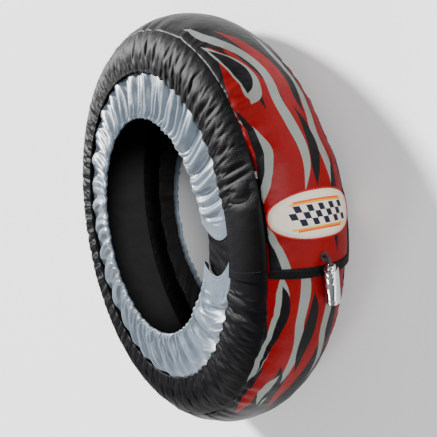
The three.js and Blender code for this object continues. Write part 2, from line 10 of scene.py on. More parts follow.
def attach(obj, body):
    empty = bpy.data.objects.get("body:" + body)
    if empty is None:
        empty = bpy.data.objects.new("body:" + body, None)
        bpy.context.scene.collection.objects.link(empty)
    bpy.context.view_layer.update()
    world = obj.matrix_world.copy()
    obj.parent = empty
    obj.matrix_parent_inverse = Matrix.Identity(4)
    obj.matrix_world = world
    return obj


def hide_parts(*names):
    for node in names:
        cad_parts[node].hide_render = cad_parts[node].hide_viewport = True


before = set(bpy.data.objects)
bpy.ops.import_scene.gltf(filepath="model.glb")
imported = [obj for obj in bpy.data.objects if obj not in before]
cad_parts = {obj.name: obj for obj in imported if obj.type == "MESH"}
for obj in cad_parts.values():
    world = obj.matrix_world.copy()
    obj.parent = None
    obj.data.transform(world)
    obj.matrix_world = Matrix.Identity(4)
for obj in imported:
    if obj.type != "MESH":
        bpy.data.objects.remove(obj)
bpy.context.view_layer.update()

# Sizes are in millimetres and degrees, round the strap's own axis. Azimuth 0 points at the closure (-Y),
# "side" is the height above the tread's middle plane.
RING_X = 0.03
RING_Y = 7.215
MIDDLE = 72.5
OUTER_RADIUS = 310.0
TREAD_HALF = 60.0
CROWN_DROP = 23.3
CROWN_POWER = 2.25
SEAM_RADIUS = OUTER_RADIUS - CROWN_DROP
GATHER_RADIUS = 230.5
GATHER_SIDE = 73.9
HEM_RADIUS = 163.5
HEM_SIDE = 71.5
FLAP_END = -16.0
UNDERLAP_END = 367.0
FLAP_LIFT = 4.5
SIDE_LIFT = 2.2
FLOOR_HALF = 72.2
MM_PER_DEGREE = math.radians(OUTER_RADIUS)
PATCH_AZIMUTH = -2.8
CONNECTOR_AZIMUTH = -14.3
CONNECTOR_STANDOFF = 12.2
SHELL_LENGTH = 46

scene = bpy.context.scene


# Small helpers
def ring_point(azimuth, radius, side):
    turn = math.radians(azimuth)
    return Vector((
        RING_X + radius * math.sin(turn),
        RING_Y - radius * math.cos(turn),
        MIDDLE + side,
    )) / 1000


def mix(low, high, share):
    return low + (high - low) * share


def ease(value, low, high):
    share = min(1.0, max(0.0, (value - low) / (high - low)))
    return share * share * (3 - 2 * share)


def tread_radius(side):
    return OUTER_RADIUS - CROWN_DROP * (abs(side) / TREAD_HALF) ** CROWN_POWER


def flap_share(azimuth):
    return 1 - ease(azimuth, 9, 17)


def wave(x, y, seed):
    return noise.noise(Vector((x, y, seed)))


def lone(obj):
    """Selects one object alone, in object mode, and makes it active."""
    bpy.ops.object.select_all(action="DESELECT")
    obj.select_set(True)
    bpy.context.view_layer.objects.active = obj
    return obj


def apply_modifiers(obj):
    lone(obj)
    for modifier in list(obj.modifiers):
        bpy.ops.object.modifier_apply(modifier=modifier.name)


def smooth(obj, angle=None):
    lone(obj)
    if angle is None:
        bpy.ops.object.shade_smooth()
    else:
        bpy.ops.object.shade_smooth_by_angle(angle=math.radians(angle))


def mesh_object(name, points, faces):
    mesh = bpy.data.meshes.new(name)
    mesh.from_pydata(points, [], faces)
    obj = bpy.data.objects.new(name, mesh)
    scene.collection.objects.link(obj)
    return obj


def cloth_map(obj, places):
    """Gives the cloth its own flat pattern as a UV map, one metre to a unit."""
    layer = obj.data.uv_layers.new(name="cloth")
    for loop in obj.data.loops:
        x, y = places[loop.vertex_index]
        layer.data[loop.index].uv = (x / 1000, y / 1000)


def grid_faces(columns, rows, flip=False):
    faces = []
    for i in range(columns - 1):
        for j in range(rows - 1):
            a, b, c, d = i * rows + j, (i + 1) * rows + j, (i + 1) * rows + j + 1, i * rows + j + 1
            faces.append((a, d, c, b) if flip else (a, b, c, d))
    return faces


def thicken(obj, thickness, levels=0, inner_slot=0):
    """Gives a sheet its thickness on its inner side, then rounds it."""
    wall = obj.modifiers.new("wall", "SOLIDIFY")
    wall.thickness = thickness / 1000
    wall.offset = -1
    wall.material_offset = inner_slot
    if levels:
        rounding = obj.modifiers.new("rounding", "SUBSURF")
        rounding.levels = rounding.render_levels = levels
    apply_modifiers(obj)
    smooth(obj)


def declare(obj, slot, *nodes):
    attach(obj, "root")
    if nodes:
        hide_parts(*nodes)
    return obj


# Materials
def linear(code):
    """Linear colour from an sRGB hex value."""
    channels = []
    for k in (0, 2, 4):
        value = int(code[k:k + 2], 16) / 255
        channels.append(value / 12.92 if value <= 0.04045 else ((value + 0.055) / 1.055) ** 2.4)
    return (*channels, 1.0)


def material(name, sockets):
    """Starts a material, with the values that are the same all over it set on its shader."""
    made = bpy.data.materials.new(name)
    made.use_nodes = True
    shader = made.node_tree.nodes["Principled BSDF"]
    for socket, value in sockets.items():
        shader.inputs[socket].default_value = value
    return made, made.node_tree, shader


def add(tree, kind, settings=(), links=(), stops=()):
    """Adds a node. Settings are properties or socket values by name, links are socket: output, and
    stops are the places and colours of a colour ramp."""
    node = tree.nodes.new(kind)
    for key, value in dict(settings).items():
        if isinstance(key, str) and hasattr(node, key):
            setattr(node, key, value)
        else:
            node.inputs[key].default_value = value
    for key, output in dict(links).items():
        tree.links.new(output, node.inputs[key])
    for element, (place, code) in enumerate(stops):
        node.color_ramp.elements[element].color = linear(code)
        node.color_ramp.elements[element].position = place
    return node


def mottling(tree, size, detail=3.0, roughness=0.55):
    """Irregular patches of about the given size in mm, on Object coordinates."""
    where = add(tree, "ShaderNodeTexCoord")
    return add(tree, "ShaderNodeTexNoise", {
        "Scale": 1000 / size, "Detail": detail, "Roughness": roughness,
    }, {"Vector": where.outputs["Object"]}).outputs["Fac"]


def uneven(tree, size, detail, tones, low=0.3, high=0.7):
    """Colour that wanders between a dark and a light tone, in patches of about the given size in mm."""
    return add(tree, "ShaderNodeValToRGB", {}, {"Fac": mottling(tree, size, detail)},
               [(low, tones[0]), (high, tones[1])]).outputs["Color"]


def weave(tree, thread, slant=0.0):
    """Woven threads across the cloth's own map, thread spacing in mm. Two wave patterns cross."""
    uv = add(tree, "ShaderNodeUVMap", {"uv_map": "cloth"})
    place = add(tree, "ShaderNodeMapping", {"Rotation": (0, 0, math.radians(slant))},
                {"Vector": uv.outputs["UV"]})
    heights = []
    for direction in ("X", "Y"):
        # Bands repeat every pi / 10 / scale of the map, which is in metres
        heights.append(add(tree, "ShaderNodeTexWave", {
            "bands_direction": direction, "Scale": math.pi / 10 / (thread / 1000),
            "Distortion": 0.4, "Detail": 1.0, "Detail Scale": 0.6,
        }, {"Vector": place.outputs["Vector"]}).outputs["Fac"])
    both = add(tree, "ShaderNodeMath", {"operation": "MULTIPLY"}, {0: heights[0], 1: heights[1]})
    return both.outputs[0]


def relief(tree, shader, *layers):
    """Raises the face of a material in layers, the finest last: height, depth in mm and strength."""
    links = {}
    for height, depth, strength in layers:
        links["Height"] = height
        raised = add(tree, "ShaderNodeBump", {"Distance": depth / 1000, "Strength": strength}, links)
        links["Normal"] = raised.outputs["Normal"]
    tree.links.new(links["Normal"], shader.inputs["Normal"])


def grained(name, tones, patches, grain, sockets):
    """A finish for pieces with no map of their own. Patches are the size and detail of the colour's
    changes, grain is the size, detail, depth and strength of its relief."""
    made, tree, shader = material(name, sockets)
    tree.links.new(uneven(tree, *patches, tones), shader.inputs["Base Color"])
    relief(tree, shader, (mottling(tree, *grain[:2]), *grain[2:]))
    return made


# Polyester satin, screen printed: the ink lies smooth, so folds catch long soft highlights
def printed_satin():
    made, tree, shader = material("printed_polyester_satin", {"Roughness": 0.46, "Specular IOR Level": 0.11})
    ink = add(tree, "ShaderNodeVertexColor", {"layer_name": "ink"})
    worn = add(tree, "ShaderNodeMix", {"data_type": "RGBA", "blend_type": "MULTIPLY", "Factor": 0.35})
    tree.links.new(ink.outputs["Color"], worn.inputs["A"])
    tree.links.new(uneven(tree, 60, 4, ("B8B8B8", "FFFFFF"), 0.3, 0.65), worn.inputs["B"])
    tree.links.new(worn.outputs["Result"], shader.inputs["Base Color"])
    # Threads are 0.25 mm apart on the real cloth, drawn at 0.9 mm so that they show
    relief(tree, shader, (mottling(tree, 11, 3), 1.2, 0.7), (weave(tree, 0.9), 0.05, 0.5))
    return made


# Black oxford nylon: a coarse flat weave, grey where light rakes it
def oxford_nylon(name, tones, crumple):
    made, tree, shader = material(name, {"Roughness": 0.52, "Specular IOR Level": 0.08})
    tree.links.new(uneven(tree, 35, 4, tones), shader.inputs["Base Color"])
    # Threads are 0.5 mm apart on the real cloth, drawn at 2.2 mm so that they show
    relief(tree, shader, (mottling(tree, 9, 4), 1.1, 0.5 * crumple), (weave(tree, 2.2, 38), 0.2, 0.8))
    return made


# Silver-grey coated satin: a bright smooth face that shades softly in its folds
def grey_satin():
    made, tree, shader = material("silver_grey_satin", {
        "Roughness": 0.4, "Sheen Weight": 0.15, "Sheen Roughness": 0.35,
    })
    tree.links.new(uneven(tree, 28, 4, ("58636E", "6B7783")), shader.inputs["Base Color"])
    # Threads are 0.3 mm apart on the real cloth, drawn at 1 mm so that they show
    relief(tree, shader, (mottling(tree, 7, 4), 0.8, 0.55), (weave(tree, 1.0), 0.05, 0.5))
    return made


# Black cloths for the inside: dull, they take up nearly all light. The lining is black cloth. The inside
# face of the skirts and the tread cover is painted black as painted shade for the dark hollow of the ring,
# with a black coating guessed
def dull_cloth(name, tones, thread, rough):
    made, tree, shader = material(name, {"Roughness": rough})
    tree.links.new(uneven(tree, 20, 5, tones), shader.inputs["Base Color"])
    # Threads are about 0.5 mm apart on the real cloths, drawn coarser so that they show
    relief(tree, shader, (mottling(tree, 2.5, 3), 0.4, 0.6), (weave(tree, thread), 0.15, 0.7))
    return made


# Embroidered twill patch: dense raised stitches with a slight shine
def patch_twill():
    made, tree, shader = material("embroidered_twill_patch", {"Roughness": 0.6, "Specular IOR Level": 0.2})
    ink = add(tree, "ShaderNodeVertexColor", {"layer_name": "ink"})
    tree.links.new(ink.outputs["Color"], shader.inputs["Base Color"])
    # Stitches are 0.4 mm apart on a real patch, drawn at 1.1 mm so that they show
    relief(tree, shader, (weave(tree, 1.1, 62), 0.16, 0.8))
    return made


# Nickel-chrome plated brass, polished: a clear mirror with fine handling marks
def plated_chrome():
    made, tree, shader = material("polished_chrome_plate", {
        "Base Color": linear("E2E4E6"), "Metallic": 1.0,
    })
    marks = add(tree, "ShaderNodeMapRange", {
        "From Min": 0.35, "From Max": 0.75, "To Min": 0.06, "To Max": 0.16,
    }, {"Value": mottling(tree, 4, 5, 0.7)})
    tree.links.new(marks.outputs["Result"], shader.inputs["Roughness"])
    relief(tree, shader, (mottling(tree, 1.2, 3), 0.01, 0.3))
    return made


# Polyester sewing thread, twisted: dull, with a little light along each stitch
def sewing_thread(name, *tones):
    return grained(name, tones, (3, 2), (0.6, 2, 0.1, 0.6), {"Roughness": 0.7, "Specular IOR Level": 0.2})


# Felts, knitted and looped tapes: fibres that scatter the light
def fibrous(name, dark, light, grain, rough=0.9, depth=0.3):
    return grained(name, (dark, light), (12, 5), (grain, 4, depth, 0.7), {"Roughness": rough})


# Drawn or turned metal: its tool marks blur the reflections a little
def bare_metal(name, dark, light, rough, grain):
    return grained(name, (dark, light), (5, 4), (grain, 3, 0.02, 0.4), {"Metallic": 1.0, "Roughness": rough})


# Moulded nylon or rubber: fine spark-eroded grain, half matte
def moulded(name, dark, light, rough, grain=0.7):
    return grained(name, (dark, light), (9, 4), (grain, 3, 0.05, 0.5), {"Roughness": rough})


PRINT = printed_satin()
NYLON = oxford_nylon("black_oxford_nylon", ("030304", "09090B"), 1.0)
# The gathered copy of the same nylon is painted a little lighter than the flat panel: painted light on its
# crumples. Its relief is also deeper.
NYLON_PAINTED_LIGHTER = oxford_nylon("black_oxford_nylon_gathered_painted_lighter", ("040405", "0C0D0F"), 1.6)
SATIN = grey_satin()
# Inside face of the skirts and the tread cover: painted black, as painted shade for the hollow of the ring.
INSIDE_FACE_PAINTED_SHADE = dull_cloth("black_inside_face_painted_shade", ("060607", "0D0D0F"), 1.2, 0.8)
LINING = dull_cloth("black_aramid_lining", ("08080A", "141416"), 1.8, 0.9)
PATCH = patch_twill()
WHITE_THREAD = sewing_thread("grey_polyester_thread", "8D949C", "B6BCC2")
BLACK_THREAD = sewing_thread("black_polyester_thread", "101113", "2A2B2E")
RED_THREAD = sewing_thread("red_polyester_thread", "7E0407", "A0080C")
CHROME = plated_chrome()
ELASTIC = fibrous("black_knitted_elastic", "101114", "1E1F23", 1.2, 0.8)


# Camera, floor and light
def aim(obj, place, target, up=(0, 0, 1)):
    ahead = (Vector(target) - Vector(place)).normalized()
    right = ahead.cross(Vector(up)).normalized()
    turn = Matrix((right, right.cross(ahead), -ahead)).transposed()
    obj.matrix_world = Matrix.Translation(Vector(place)) @ turn.to_4x4()


PHOTO_WIDTH = 437
SENSOR_WIDTH = 36


def photo_camera():
    """Camera fitted to the photo's outline. Angles in radians, distance in mm, focal length in pixels."""
    tilt, roll, distance, right_by, up_by, focal = 1.074, -1.73, 994.917, 0.046, 0.003, 632.732
    place = Vector((distance * math.sin(tilt), 0, distance * math.cos(tilt)))
    ahead = -place.normalized()
    right = ahead.cross(Vector((0, 0, 1))).normalized()
    up = right.cross(ahead)
    right, up = (math.cos(roll) * right + math.sin(roll) * up,
                 -math.sin(roll) * right + math.cos(roll) * up)
    ahead = (ahead + math.tan(right_by) * right + math.tan(up_by) * up).normalized()
    right = ahead.cross(up).normalized()
    up = right.cross(ahead)
    row = [Vector((v.y, -v.x, v.z)) for v in (right, up, -ahead, place)]
    lens = bpy.data.cameras.new("photo_camera")
    lens.sensor_width = SENSOR_WIDTH
    lens.lens = focal * SENSOR_WIDTH / PHOTO_WIDTH
    camera = bpy.data.objects.new("photo_camera", lens)
    spot = (row[3] + Vector((RING_X, RING_Y, MIDDLE))) / 1000
    turn = Matrix(row[:3]).transposed()
    camera.matrix_world = Matrix.Translation(spot) @ turn.to_4x4()
    scene.collection.objects.link(camera)
    scene.camera = camera


def sun(name, azimuth, elevation, strength, angle):
    """Soft light from the given azimuth, measured as every other one here."""
    light = bpy.data.lights.new(name, "SUN")
    light.energy = strength
    light.angle = math.radians(angle)
    lamp = bpy.data.objects.new(name, light)
    turn, rise = math.radians(azimuth), math.radians(elevation)
    place = Vector((math.sin(turn) * math.cos(rise), -math.cos(turn) * math.cos(rise), math.sin(rise)))
    aim(lamp, place * 2, (0, 0, 0), (0.01, 0.02, 1))
    scene.collection.objects.link(lamp)


FLOOR_SIZE = 80.0


def studio():
    """Pale floor, soft air and three soft suns."""
    bpy.ops.object.select_all(action="DESELECT")
    bpy.ops.mesh.primitive_plane_add(size=FLOOR_SIZE, location=(0, 0, -0.0004))
    floor = bpy.context.active_object
    floor.name = "studio_floor"
    bpy.ops.object.transform_apply(location=True, rotation=True, scale=True)
    made, tree, shader = material("matt_white_studio_floor", {"Roughness": 0.9})
    tone = uneven(tree, 900, 2, ("F2F2F2", "F6F6F6"), 0.0, 1.0)
    tree.links.new(tone, shader.inputs["Base Color"])
    floor.data.materials.append(made)
    world = bpy.data.worlds.new("studio_air")
    scene.world = world
    world.use_nodes = True
    air = world.node_tree
    # The room is bright overhead and dim at the sides, as under a large soft box
    where = add(air, "ShaderNodeTexCoord")
    height = add(air, "ShaderNodeSeparateXYZ", {}, {"Vector": where.outputs["Generated"]})
    sky = add(air, "ShaderNodeValToRGB", {}, {"Fac": height.outputs["Z"]},
              [(0.05, "808286"), (0.7, "D8DADD")])
    air.links.new(sky.outputs["Color"], air.nodes["Background"].inputs["Color"])
    air.nodes["Background"].inputs["Strength"].default_value = 0.5
    sun("key_light", 142, 32, 11.5, 9)
    sun("front_light", 8, 26, 3.6, 16)
    sun("far_light", -130, 30, 1.0, 20)


photo_camera()
studio()


# Printed cloth
def curve_through(stops, steps=10):
    """Smooth curve through rows of numbers."""
    rows = [Vector(stop) for stop in stops]
    rows = [rows[0] * 2 - rows[1]] + rows + [rows[-1] * 2 - rows[-2]]
    result = []
    for a, b, c, d in zip(rows, rows[1:], rows[2:], rows[3:]):
        for k in range(steps):
            t = k / steps
            result.append(0.5 * (2 * b + (c - a) * t + (2 * a - 5 * b + 4 * c - d) * t * t
                                 + (3 * b - a - 3 * c + d) * t ** 3))
    return result + [rows[-2]]


def lick(stops, steps=8):
    """Outline of a tongue of flame or a teardrop: stops are azimuth, side and width along it."""
    line = curve_through([(a * MM_PER_DEGREE, side, width) for a, side, width in stops], steps)
    left, right = [], []
    for k, point in enumerate(line):
        ahead = line[min(k + 1, len(line) - 1)] - line[max(k - 1, 0)]
        across = Vector((-ahead.y, ahead.x)).normalized() * max(point.z, 0.0) / 2
        middle = Vector((point.x, point.y))
        left.append(middle + across)
        right.append(middle - across)
    outline = left + right[::-1]
    kept = []
    for point in outline:
        limited = Vector((point.x, min(TREAD_HALF, max(-TREAD_HALF, point.y))))
        if not kept or (limited - kept[-1]).length > 0.35:
            kept.append(limited)
    if (kept[0] - kept[-1]).length < 0.35:
        kept.pop()
    return kept


def winds_round(point, outline):
    """True where the outline goes round the point."""
    turns = 0
    for a, b in zip(outline, outline[1:] + outline[:1]):
        if (a.y <= point.y) != (b.y <= point.y):
            hand = (b.x - a.x) * (point.y - a.y) - (b.y - a.y) * (point.x - a.x)
            if a.y <= point.y and hand > 0:
                turns += 1
            elif a.y > point.y and hand < 0:
                turns -= 1
    return turns != 0


def printed_cloth(name, outline, marks, inner_points, inks):
    """Cloth cut to an outline in its flat pattern, with each printed mark as faces of its own ink.
    Marks are (ink, outline), and a later mark covers an earlier one."""
    shapes = [[Vector(p) for p in outline]] + [[Vector(p) for p in shape] for _, shape in marks]
    points, borders = [], []
    for shape in shapes:
        first, count = len(points), len(shape)
        borders += [(first + k, first + (k + 1) % count) for k in range(count)]
        points += shape
    points += [Vector(p) for p in inner_points]
    flat, _, faces, _, _, _ = delaunay_2d_cdt(points, borders, [], 0, 1e-3)
    obj = mesh_object(name, [(p.x / 1000, p.y / 1000, 0) for p in flat], faces)
    boxes = [(min(p.x for p in s), max(p.x for p in s), min(p.y for p in s), max(p.y for p in s))
             for s in shapes[1:]]
    ink = obj.data.color_attributes.new(name="ink", type="FLOAT_COLOR", domain="CORNER")
    for polygon, face in zip(obj.data.polygons, faces):
        middle = (flat[face[0]] + flat[face[1]] + flat[face[2]]) / 3
        found = "ground"
        for (left, right, low, high), shape, (name_of_ink, _) in zip(boxes, shapes[1:], marks):
            if left <= middle.x <= right and low <= middle.y <= high and winds_round(middle, shape):
                found = name_of_ink
        colour = linear(inks[found])
        for loop in polygon.loop_indices:
            ink.data[loop].color = colour
    return obj, flat


TREAD_INKS = {
    "ground": "09090B", "black": "08080A", "red": "700104", "silver": "737873",
}


# Tongues of flame: ink, then azimuth, side and width along each. A later one covers an earlier one.
FLAMES_ABOVE = [
    # Red bodies
    ("red", (-24, 30, 62), (-8, 30, 64), (4, 33, 58), (14, 40, 44), (22, 46, 30), (30, 47, 22),
     (38, 44, 14), (46, 50, 0)),
    ("red", (-24, -4, 50), (-6, -6, 54), (6, -10, 50), (16, -14, 40), (26, -10, 30), (35, 0, 22),
     (43, 14, 12), (50, 28, 0)),
    ("red", (-24, -42, 36), (-6, -42, 38), (6, -40, 32), (16, -44, 24), (26, -50, 18), (36, -48, 10),
     (45, -38, 0)),
    ("red", (8, 20, 20), (16, 24, 22), (24, 20, 18), (31, 26, 14), (38, 33, 9), (47, 36, 0)),
    # Silver ribbons between them
    ("silver", (2, 16, 0), (8, 6, 10), (15, 5, 15), (23, 12, 13), (31, 10, 12), (38, 20, 11),
     (45, 36, 11), (51, 45, 9), (58, 50, 0)),
    ("silver", (-2, -26, 0), (5, -30, 11), (13, -24, 13), (21, -30, 12), (30, -34, 10), (39, -24, 8),
     (48, -20, 0)),
    ("silver", (-2, 70, 0), (3, 60, 9), (8, 52, 12), (13, 46, 11), (18, 52, 6), (22, 60, 0)),
    # Black drops, with silver at their backs
    ("silver", (24, 43, 0), (26, 36, 17), (31, 34, 22), (36, 39, 18), (41, 47, 9), (47, 53, 0)),
    ("black", (27, 41, 0), (29, 37, 11), (33, 36, 16), (38, 42, 11), (44, 51, 0)),
    ("black", (3, -2, 0), (7, -6, 12), (12, -12, 15), (17, -13, 10), (22, -6, 0)),
    ("black", (20, -20, 0), (24, -20, 9), (29, -24, 13), (34, -20, 9), (40, -10, 0)),
    ("black", (-12, -24, 0), (-7, -22, 9), (-1, -26, 12), (5, -33, 8), (10, -42, 0)),
    ("black", (2, 66, 0), (7, 58, 5), (13, 53, 8), (19, 54, 6), (25, 60, 0)),
]
FLAMES_BELOW = [
    ("red", (-8, 40, 40), (-16, 41, 40), (-24, 42, 34), (-33, 40, 30), (-42, 38, 27), (-50, 43, 20),
     (-57, 48, 12), (-66, 44, 0)),
    ("red", (-8, 4, 54), (-16, 4, 50), (-26, 6, 38), (-35, 2, 30), (-44, 8, 20), (-52, 16, 10),
     (-60, 16, 0)),
    ("red", (-8, -38, 42), (-16, -38, 40), (-26, -40, 32), (-36, -46, 24), (-45, -42, 16),
     (-54, -32, 8), (-62, -30, 0)),
    ("silver", (-14, 22, 10), (-20, 20, 13), (-27, 23, 11), (-34, 19, 12), (-42, 22, 9), (-50, 30, 6),
     (-58, 30, 0)),
    ("silver", (-15, 48, 0), (-20, 45, 13), (-26, 47, 13), (-32, 52, 9), (-40, 56, 7), (-48, 59, 0)),
    ("silver", (-14, -14, 8), (-22, -18, 12), (-31, -16, 11), (-39, -24, 9), (-48, -22, 0)),
    ("black", (-18, 46, 0), (-21, 42, 8), (-26, 43, 10), (-32, 49, 6), (-37, 53, 4), (-44, 56, 0)),
    ("black", (-20, 8, 0), (-24, 6, 12), (-30, 8, 17), (-36, 12, 12), (-43, 10, 0)),
    ("black", (-40, 32, 0), (-45, 30, 13), (-50, 33, 16), (-55, 38, 10), (-61, 36, 0)),
    ("silver", (-43, 30, 0), (-46, 34, 8), (-50, 38, 10), (-54, 37, 5), (-57, 34, 0)),
    ("black", (-20, -28, 0), (-25, -28, 10), (-31, -31, 13), (-38, -34, 8), (-45, -32, 0)),
]
# The black corner of the flap beside the patch, with a silver edge
FLAP_CORNER = [
    ("silver", (-17, 57, 40), (-12, 59, 31), (-8, 60, 18), (-4, 60, 0)),
    ("black", (-17, 62, 30), (-12, 63, 22), (-8, 63, 10), (-4, 62, 0)),
]


def flames():
    """The print on the strap: flames on both sides of the closure, and once more opposite to it."""
    low, high = FLAP_END * MM_PER_DEGREE, UNDERLAP_END * MM_PER_DEGREE
    marks = []
    for shift, group in ((0, FLAMES_ABOVE), (0, FLAP_CORNER), (360, FLAMES_BELOW),
                         (180, FLAMES_ABOVE), (180, FLAMES_BELOW)):
        for ink, *stops in group:
            outline = lick([(shift + azimuth, side, width) for azimuth, side, width in stops])
            outline = [Vector((min(high, max(low, p.x)), p.y)) for p in outline]
            kept = [p for k, p in enumerate(outline) if (p - outline[k - 1]).length > 0.3]
            if len(kept) > 3 and max(p.x for p in kept) - min(p.x for p in kept) > 2:
                marks.append((ink, kept))
    return marks


def tread_relief(azimuth, side):
    """Height of the cloth over the padding: broad waves, and pleats that start at the seams."""
    along = azimuth * MM_PER_DEGREE
    share = abs(side) / TREAD_HALF
    hand = 4.0 if side > 0 else 9.0
    broad = 0.9 * wave(along / 70, side / 50, 2.0) + 0.5 * wave(along / 24, side / 40, 5.0)
    pleat = wave(along / 9.5 + 0.5 * wave(along / 40, side / 30, 1.0), side / 60, hand)
    long_pleat = wave(along / 17, side / 80, hand + 3)
    reach = ease(share, 0.62, 0.97)
    long_reach = ease(share, 0.2, 0.95)
    end_fade = ease(azimuth, FLAP_END, FLAP_END + 3)
    return (broad + 2.1 * reach * pleat + 1.7 * long_reach * long_pleat) * (0.3 + 0.7 * end_fade)


def tread_point(azimuth, side, depth=0.0):
    lift = FLAP_LIFT * flap_share(azimuth)
    seam_dip = 1.9 * ease(abs(side), TREAD_HALF - 3.5, TREAD_HALF + 0.3)
    relief = tread_relief(azimuth, side)
    if azimuth > 340:
        relief = min(relief, 0.4)
    if azimuth < 15:
        relief = max(relief, -0.9)
    radius = tread_radius(side) + lift + relief - seam_dip - depth
    return ring_point(azimuth, radius, side)


def tread_cover():
    low, high = FLAP_END * MM_PER_DEGREE, UNDERLAP_END * MM_PER_DEGREE
    count = 520
    rows = [-58.4, -56, -53, -49.5, -45.5, -41, -36, -30, -24, -16, -8]
    rows = rows + [0] + [-row for row in reversed(rows)]
    columns = [mix(low, high, i / count) for i in range(count + 1)]
    outline = [(x, -TREAD_HALF) for x in columns] + [(high, y) for y in rows]
    outline += [(x, TREAD_HALF) for x in reversed(columns)] + [(low, y) for y in reversed(rows)]
    inner_points = [(x, y) for x in columns[1:-1] for y in rows]
    obj, flat = printed_cloth("printed_tread_cover", outline, flames(), inner_points, TREAD_INKS)
    for vertex, place in zip(obj.data.vertices, flat):
        vertex.co = tread_point(place.x / MM_PER_DEGREE, place.y)
    cloth_map(obj, [(p.x, p.y) for p in flat])
    obj.data.materials.append(PRINT)
    obj.data.materials.append(INSIDE_FACE_PAINTED_SHADE)
    thicken(obj, 0.9, 0, 1)
    declare(obj, "printed_cloth", "tread_cover")
    return obj


# Gathered cloth, settled by simulation
SIM_SCALE = 10.0


def settle(name, cut, goal, faces, grip, stiffness, pressure, frames=20):
    """Lets a cloth cut to its real size be drawn in. The rows that are sewn move from the flat cut to
    their gathered places, and the cloth between them finds its own folds."""
    obj = mesh_object(name, [p * SIM_SCALE for p in cut], faces)
    obj.shape_key_add(name="Basis")
    drawn = obj.shape_key_add(name="drawn_in")
    for key, place in zip(drawn.data, goal):
        key.co = place * SIM_SCALE
    drawn.value = 0
    drawn.keyframe_insert("value", frame=1)
    drawn.value = 1
    drawn.keyframe_insert("value", frame=frames - 6)
    held = obj.vertex_groups.new(name="held")
    for index, weight in enumerate(grip):
        if weight > 0:
            held.add([index], weight, "REPLACE")
    cloth = obj.modifiers.new("cloth", "CLOTH")
    cloth.settings.quality = 5
    cloth.settings.mass = 0.15
    cloth.settings.tension_stiffness = 20
    cloth.settings.compression_stiffness = 20
    cloth.settings.shear_stiffness = 4
    cloth.settings.bending_stiffness = stiffness
    cloth.settings.bending_damping = 0.5
    cloth.settings.air_damping = 1
    cloth.settings.vertex_group_mass = "held"
    cloth.settings.pin_stiffness = 1
    cloth.settings.use_pressure = pressure > 0
    cloth.settings.uniform_pressure_force = pressure
    cloth.settings.effector_weights.gravity = 0.1
    cloth.collision_settings.use_collision = False
    cloth.point_cache.frame_start = 1
    cloth.point_cache.frame_end = frames + 2
    for step in range(1, frames + 1):
        scene.frame_set(step)
    settled = obj.evaluated_get(bpy.context.evaluated_depsgraph_get())
    places = [v.co / SIM_SCALE for v in settled.data.vertices]
    bpy.data.objects.remove(obj)
    scene.frame_set(1)
    return places


def ripple_line(count, steps, seed):
    """Irregular crests and valleys along a sewn row: one number from 0 to 1 for each station."""
    rnd = random.Random(seed)
    stops, at = [], 0.0
    while not stops or stops[-1][0] <= count:
        crest = len(stops) % 2
        stops.append((at, mix(0.55, 1.0, rnd.random()) if crest else 0.22 * rnd.random()))
        at += steps * mix(0.6, 1.4, rnd.random()) / 2
    values, k = [], 0
    for i in range(count + 1):
        while stops[k + 1][0] <= i:
            k += 1
        (a, low), (b, high) = stops[k], stops[k + 1]
        share = (1 - math.cos(math.pi * (i - a) / (b - a))) / 2
        values.append(mix(low, high, share))
    return values


def hemmed_share(azimuth):
    turned = azimuth - 360 if azimuth > 180 else azimuth
    return ease(turned, 0.5, 5.5) + 1 - ease(turned, -26, -21)


def shoulder(share):
    """Shoulder curve from the tread seam to the gathered edge, and its outward direction."""
    a, b, c = Vector((SEAM_RADIUS, 60.4)), Vector((268.15, 80)), Vector((GATHER_RADIUS, GATHER_SIDE))
    spot = a * (1 - share) ** 2 + b * (2 * share * (1 - share)) + c * share ** 2
    ahead = ((b - a) * (1 - share) + (c - b) * share).normalized()
    return spot, Vector((ahead.y, -ahead.x))


def polar(point):
    """Azimuth, radius and side of a place, in millimetres and degrees."""
    x, y = point.x * 1000 - RING_X, point.y * 1000 - RING_Y
    return math.degrees(math.atan2(x, -y)), math.hypot(x, y), point.z * 1000 - MIDDLE


def on_floor_side(point, hand):
    """Mirrors a settled point to the floor side, where the floor flattens the cloth."""
    if hand > 0:
        return point
    side = point.z * 1000 - MIDDLE
    flat = FLOOR_HALF - 0.4 + 0.05 * (side - FLOOR_HALF)
    return Vector((point.x, point.y, (MIDDLE - min(side, flat)) / 1000))


def held_near(point, base, reach):
    """Limits how far settled cloth may stand from its place, in mm."""
    moved = point - base
    if moved.length <= reach / 1000:
        return point
    return base + moved * (reach / 1000 / moved.length)


